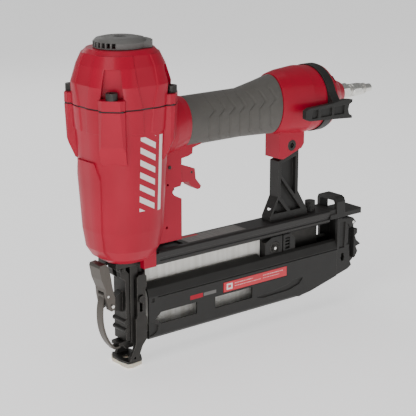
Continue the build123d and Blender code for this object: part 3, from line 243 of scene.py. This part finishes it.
@finish
def grey_plastic():
    made = Finish("grey_plastic", 0.0005)
    colour = made.mix(made.noise(0.01), (0.108, 0.105, 0.099), (0.132, 0.128, 0.121))
    # painted edge highlight: lighter grey along the outside edges
    made.set(Base_Color=made.mix(made.worn() * 0.4, colour, (0.24, 0.235, 0.225)),
             Roughness=0.46 + made.noise(0.005) * 0.14)
    return made.relief(made.grains(0.0005), 0.00004)


@finish
def black_steel():
    made = Finish("black_steel", 0.0004, Metallic=0.85)
    colour = made.mix(made.noise(0.006), (0.035, 0.034, 0.032), (0.06, 0.057, 0.053))
    # painted edge highlight: lighter grey along the outside edges
    made.set(Base_Color=made.mix(made.worn() * 0.7, colour, (0.28, 0.26, 0.24)),
             Roughness=0.36 + made.noise(0.003, 4.0) * 0.22)
    return made.relief(made.noise(0.0009, 4.0), 0.00004)


@finish
def steel():
    made = Finish("steel", 0.0003, Metallic=1.0)
    turned = made.noise(0.0006, 2.0, (8.0, 1.0, 1.0))
    made.set(Base_Color=made.mix(turned, (0.70, 0.69, 0.65), (0.88, 0.87, 0.83)),
             Roughness=0.2 + turned * 0.16)
    return made.relief(turned, 0.00002)


@finish
def spring_steel():
    made = Finish("spring_steel", 0.0004, Metallic=0.9)
    drawn = made.noise(0.0012, 3.0, (1.0, 1.0, 0.12))
    made.set(Base_Color=made.mix(drawn, (0.095, 0.085, 0.075), (0.155, 0.141, 0.127)),
             Roughness=0.36 + drawn * 0.2)
    return made.relief(drawn, 0.00003)


@finish
def aluminium():
    made = Finish("aluminium", 0.0003, Metallic=1.0)
    turned = made.noise(0.0008, 2.0, (0.1, 0.1, 6.0))
    made.set(Base_Color=made.mix(turned, (0.58, 0.58, 0.60), (0.72, 0.72, 0.74)),
             Roughness=0.22 + turned * 0.18)
    return made.relief(turned, 0.00002)


@finish
def black_aluminium():
    made = Finish("black_aluminium", 0.0005, Metallic=0.5)
    drawn = made.noise(0.0008, 3.0, (0.02, 1.0, 1.0))
    colour = made.mix(drawn, (0.032, 0.031, 0.030), (0.046, 0.044, 0.042))
    # painted edge highlight: lighter grey along the outside edges
    made.set(Base_Color=made.mix(made.worn() * 0.6, colour, (0.17, 0.165, 0.16)),
             Roughness=0.36 + drawn * 0.16)
    return made.relief(drawn, 0.00002)


@finish
def nails():
    made = Finish("nails", 0.0001, Metallic=0.1)
    each = made.noise(0.0045, 4.0, (1.0, 0.2, 0.05))
    glue = made.noise(0.012, 2.0, (1.0, 1.0, 2.0))
    colour = made.mix(each.ramp(0.3, 0.7), (0.80, 0.78, 0.73), (0.95, 0.94, 0.90))
    made.set(Base_Color=made.mix(glue.ramp(0.5, 0.8) * 0.5, colour, (0.84, 0.81, 0.75)),
             Roughness=0.34 + each * 0.2)
    return made.relief(made.noise(0.0007, 2.0, (1.0, 1.0, 0.2)), 0.00003)


@finish
def pad_rubber():
    made = Finish("pad_rubber", 0.0006, Subsurface_Weight=0.12, Subsurface_Scale=0.002)
    colour = made.mix(made.noise(0.006, 4.0), (0.62, 0.56, 0.44), (0.74, 0.68, 0.56))
    made.set(Base_Color=colour, Roughness=0.52 + made.noise(0.004) * 0.2)
    return made.relief(made.noise(0.0012, 4.0), 0.00006)


@finish
def black_rubber():
    made = Finish("black_rubber", 0.0003, Roughness=0.6)
    made.set(Base_Color=made.mix(made.noise(0.004), (0.012, 0.012, 0.012), (0.022, 0.022, 0.021)))
    return made.relief(made.noise(0.0006, 3.0), 0.00003)


def dashes(made, along, across, rows, density):
    """Short plain bars in rows, like a printed panel with nothing to read."""
    worn = made.node("ShaderNodeTexNoise", {"noise_dimensions": "1D"}, W=along, Scale=density, Detail=0.0)
    total = None
    for low, high, start, end in rows:
        bar = across.within(low, high) * along.within(start, end) * (worn > 0.42)
        total = bar if total is None else total + bar
    return total


@finish
def label_red():
    made = Finish("label_red", 0.0002, Roughness=0.34, Coat_Weight=0.3, Coat_Roughness=0.2)
    badge = made.x.within(0.1045, 0.1115) * made.z.within(0.0488, 0.0546)
    notch = made.x.within(0.1062, 0.1098) * made.z.within(0.0503, 0.0531)
    upper, lower = (0.0531, 0.0540), (0.0505, 0.0512)
    rows = [(*upper, 0.114, 0.136), (*lower, 0.114, 0.146), (*upper, 0.149, 0.174), (*lower, 0.149, 0.170)]
    marks = dashes(made, made.x, made.z, rows, 900.0)
    colour = made.mix(made.noise(0.02), (0.62, 0.006, 0.022), (0.68, 0.009, 0.028))
    colour = made.mix(marks * 0.75, colour, (0.80, 0.55, 0.55))
    made.set(Base_Color=made.mix(badge - badge * notch, colour, (0.85, 0.82, 0.80)))
    return made.relief(made.noise(0.0008), 0.00001)


@finish
def label_grey():
    made = Finish("label_grey", 0.0002, Roughness=0.45, Coat_Weight=0.15, Coat_Roughness=0.3)
    rows = [(-0.0075 + step * 0.0019, -0.0066 + step * 0.0019, 0.066, 0.130) for step in range(8)]
    marks = dashes(made, made.x, made.y, rows, 700.0)
    red = made.x.within(0.064, 0.086) * (made.y > 0.0045)
    colour = made.mix(marks * 0.6, (0.15, 0.145, 0.135), (0.42, 0.41, 0.39))
    made.set(Base_Color=made.mix(red, colour, (0.60, 0.018, 0.040)))
    return made.relief(made.noise(0.0006), 0.00001)


# ------------------------------------------------------------------ pieces
MERGE = 1e-6
FLAT_ANGLE = 2.0


def piece(name, mesh_maker, node, smooth=40.0):
    """A new piece in a CAD node's place, on its body and in its material slot."""
    bm = bmesh.new()
    mesh_maker(bm)
    bmesh.ops.remove_doubles(bm, verts=bm.verts, dist=MERGE)
    bmesh.ops.recalc_face_normals(bm, faces=bm.faces)
    mesh = bpy.data.meshes.new(name)
    bm.to_mesh(mesh)
    bm.free()
    mesh.shade_smooth()
    mesh.set_sharp_from_angle(angle=radians(smooth))
    made = bpy.data.objects.new(name, mesh)
    bpy.context.scene.collection.objects.link(made)
    mesh.materials.append(FINISHES[slot_of[node]])
    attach(made, body_of[node])
    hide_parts(node)
    return made


def from_node(bm, node):
    """A merged copy of a CAD node's mesh."""
    bm.from_mesh(nodes[node].data)
    bmesh.ops.remove_doubles(bm, verts=bm.verts, dist=MERGE)


def soften(bm, low, width, segments):
    """Rounds the edges that turn more than an angle."""
    bmesh.ops.dissolve_limit(bm, angle_limit=radians(FLAT_ANGLE), verts=bm.verts, edges=bm.edges)
    sharp = [edge for edge in bm.edges if edge.is_manifold and edge.calc_face_angle() > radians(low)]
    bmesh.ops.bevel(bm, geom=sharp, offset=width, segments=segments, profile=0.5, affect="EDGES",
                    material=-1, clamp_overlap=True)


def rounded_pad(bm):
    from_node(bm, "no_mar_pad")
    soften(bm, 50.0, 0.0011, 4)


# Oval stations of the sleeve: x, centre height, half height, half width.
SLEEVE_OVALS = [(0.058, 0.2104, 0.0224, 0.0174), (0.127, 0.2104, 0.0224, 0.0174), (0.150, 0.2122, 0.0254, 0.0188),
                (0.170, 0.2140, 0.0282, 0.0204)]
GROOVE_PITCH = 0.0117
GROOVE_START = 0.0793
GROOVE_DEPTH = 0.0011
GROOVE_COUNT = 7
GROOVE_STEP = 0.0006
GROOVE_RISE = 0.0026
FADE_TOP = 0.004
FADE_LOW = 0.003
LIP = 0.0006
SLEEVE_ALONG = 330
SLEEVE_AROUND = 190
# How far a groove stands forward at a height above the middle of the sleeve.
GROOVE_LINE = [(-0.0206, 0.0100), (-0.0150, 0.0040), (-0.0065, 0.0016), (0.0038, 0.0013), (0.0092, 0.0084),
               (0.0215, 0.0030)]


def between(rows, at):
    """The row of a table at a place between two of its rows, smoothly."""
    rows = sorted(rows)
    at = min(max(at, rows[0][0]), rows[-1][0])
    for first, second in zip(rows, rows[1:]):
        if at <= second[0]:
            share = (at - first[0]) / (second[0] - first[0])
            return [a + (b - a) * share for a, b in zip(first[1:], second[1:])]
    return list(rows[-1][1:])


def groove(x, height):
    """Depth of the grooves at a place on the side of the sleeve: a sharp step, then a long rise."""
    if not GROOVE_LINE[0][0] < height < GROOVE_LINE[-1][0]:
        return 0.0
    behind = (x - GROOVE_START - between(GROOVE_LINE, height)[0]) / GROOVE_PITCH
    index = floor(behind + 0.5)
    away = (behind - index) * GROOVE_PITCH
    if not 0 <= index < GROOVE_COUNT:
        return 0.0
    fade = min(1.0, (GROOVE_LINE[-1][0] - height) / FADE_TOP, (height - GROOVE_LINE[0][0]) / FADE_LOW)
    if away < 0:
        return GROOVE_DEPTH * fade * max(0.0, 1 + away / GROOVE_STEP)
    return GROOVE_DEPTH * fade * max(0.0, 1 - away / GROOVE_RISE)


def rubber_sleeve(bm):
    """Oval sleeve with overlapping scales on both sides."""
    low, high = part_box("grip_sleeve")
    bmesh.ops.create_grid(bm, x_segments=SLEEVE_ALONG, y_segments=SLEEVE_AROUND, size=0.5)
    for vertex in bm.verts:
        x = low.x + (high.x - low.x) * (vertex.co.x + 0.5)
        turn = 2 * pi * (vertex.co.y + 0.5)
        z, half_h, half_w = between(SLEEVE_OVALS, x)
        depth = groove(x, half_h * sin(turn))
        edge = min(x - low.x, high.x - x)
        depth += LIP * max(0.0, 1 - edge / LIP) ** 2
        vertex.co = (x, (half_w - depth) * cos(turn), z + (half_h - depth) * sin(turn))


NAIL_PITCH = 0.0016
SHANK_HALF_T = 0.00066
HEAD_T = 0.0010


def nail_row(bm):
    """Every nail of the strip as its own wire with its own head."""
    low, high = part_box("nail_strip")
    count = round((high.x - low.x) / NAIL_PITCH)
    pitch = (high.x - low.x) / count
    middle = (low.y + high.y) / 2 - 0.0001
    for index in range(count):
        x = low.x + pitch * (index + 0.5)
        shank = Matrix.Translation((x, -0.00002, (low.z + high.z) / 2)) @ Matrix.Diagonal(
            (pitch * 0.48, SHANK_HALF_T, high.z - low.z, 1))
        bmesh.ops.create_cone(bm, cap_ends=True, segments=8, radius1=1.0, radius2=1.0, depth=1.0,
                              matrix=shank)
        head = Matrix.Translation((x, middle, high.z - HEAD_T / 2)) @ Matrix.Diagonal(
            (pitch * 0.9, (high.y - low.y) * 0.97, HEAD_T, 1))
        bmesh.ops.create_cube(bm, size=1.0, matrix=head)


piece("sleeve_moulded", rubber_sleeve, "grip_sleeve", 55.0)
piece("nail_row", nail_row, "nail_strip", 30.0)
piece("pad_moulded", rounded_pad, "no_mar_pad", 35.0)


def squeezed_coil(node):
    """A spring's CAD mesh copied into a piece of its own, with a mesh of its own."""
    coil = piece(node + "_coil", lambda bm: from_node(bm, node), node, 50.0)
    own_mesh(coil)


for moving in behaviour["joints"]:
    for row in moving.get("deforming_nodes") or []:
        squeezed_coil(row["node"])

for name, node in nodes.items():
    for slot in node.material_slots:
        slot.material = FINISHES[slot_of[name]]


# ------------------------------------------------------------------ floor, light, camera
FLOOR_HALF = 12.0
FLOOR_GAP = 0.0006
WORLD_STRENGTH = 0.25
LENS = 108.16
SENSOR = 36.0
AIM = (0.09363, 0.0, 0.12623)
TOWARDS_CAMERA = (-0.6032, -0.7496, 0.27245)
CAMERA_DISTANCE = 1.13535
# Name, place, aim, width, height and power of each softbox.
SOFTBOXES = [("key", (-1.1, -0.35, 0.9), (0.0, 0.0, 0.2), 0.7, 1.1, 7.0),
             ("side", (0.6, -1.3, 0.6), (0.1, 0.0, 0.12), 0.8, 1.0, 2.0),
             ("top", (0.1, 0.2, 1.5), (0.1, 0.0, 0.1), 1.2, 0.9, 3.6),
             ("rim", (0.3, 1.3, 0.8), (0.1, 0.0, 0.15), 1.0, 0.7, 3.0),
             ("low", (-0.55, -0.9, 0.12), (0.12, 0.0, 0.05), 0.7, 0.3, 2.6)]


def paper_floor():
    bm = bmesh.new()
    bmesh.ops.create_grid(bm, x_segments=1, y_segments=1, size=FLOOR_HALF)
    mesh = bpy.data.meshes.new("floor")
    bm.to_mesh(mesh)
    bm.free()
    made = bpy.data.objects.new("floor", mesh)
    made.location.z = -FLOOR_GAP
    bpy.context.scene.collection.objects.link(made)
    paper = Finish("paper", 0.0004, Roughness=0.9, Emission_Color=(1.0, 1.0, 1.0), Emission_Strength=0.75)
    paper.set(Base_Color=paper.mix(paper.noise(0.4), (0.90, 0.90, 0.90), (0.93, 0.93, 0.93)))
    mesh.materials.append(paper.material)


def softbox(name, place, aim, width, height, power):
    light = bpy.data.lights.new(name, "AREA")
    light.shape = "RECTANGLE"
    light.size = width
    light.size_y = height
    light.energy = power
    made = bpy.data.objects.new(name, light)
    made.location = place
    made.rotation_euler = (Vector(aim) - Vector(place)).to_track_quat("-Z", "Y").to_euler()
    bpy.context.scene.collection.objects.link(made)


def camera():
    data = bpy.data.cameras.new("camera")
    data.lens = LENS
    data.sensor_width = SENSOR
    data.clip_start = 0.05
    data.clip_end = 60.0
    made = bpy.data.objects.new("camera", data)
    back = Vector(TOWARDS_CAMERA).normalized()
    made.location = Vector(AIM) + back * CAMERA_DISTANCE
    made.rotation_euler = (-back).to_track_quat("-Z", "Y").to_euler()
    bpy.context.scene.collection.objects.link(made)
    bpy.context.scene.camera = made


paper_floor()
for box in SOFTBOXES:
    softbox(*box)
world = bpy.data.worlds.new("studio")
world.use_nodes = True
world.node_tree.nodes["Background"].inputs["Color"].default_value = (1.0, 1.0, 1.0, 1.0)
world.node_tree.nodes["Background"].inputs["Strength"].default_value = WORLD_STRENGTH
bpy.context.scene.world = world
camera()
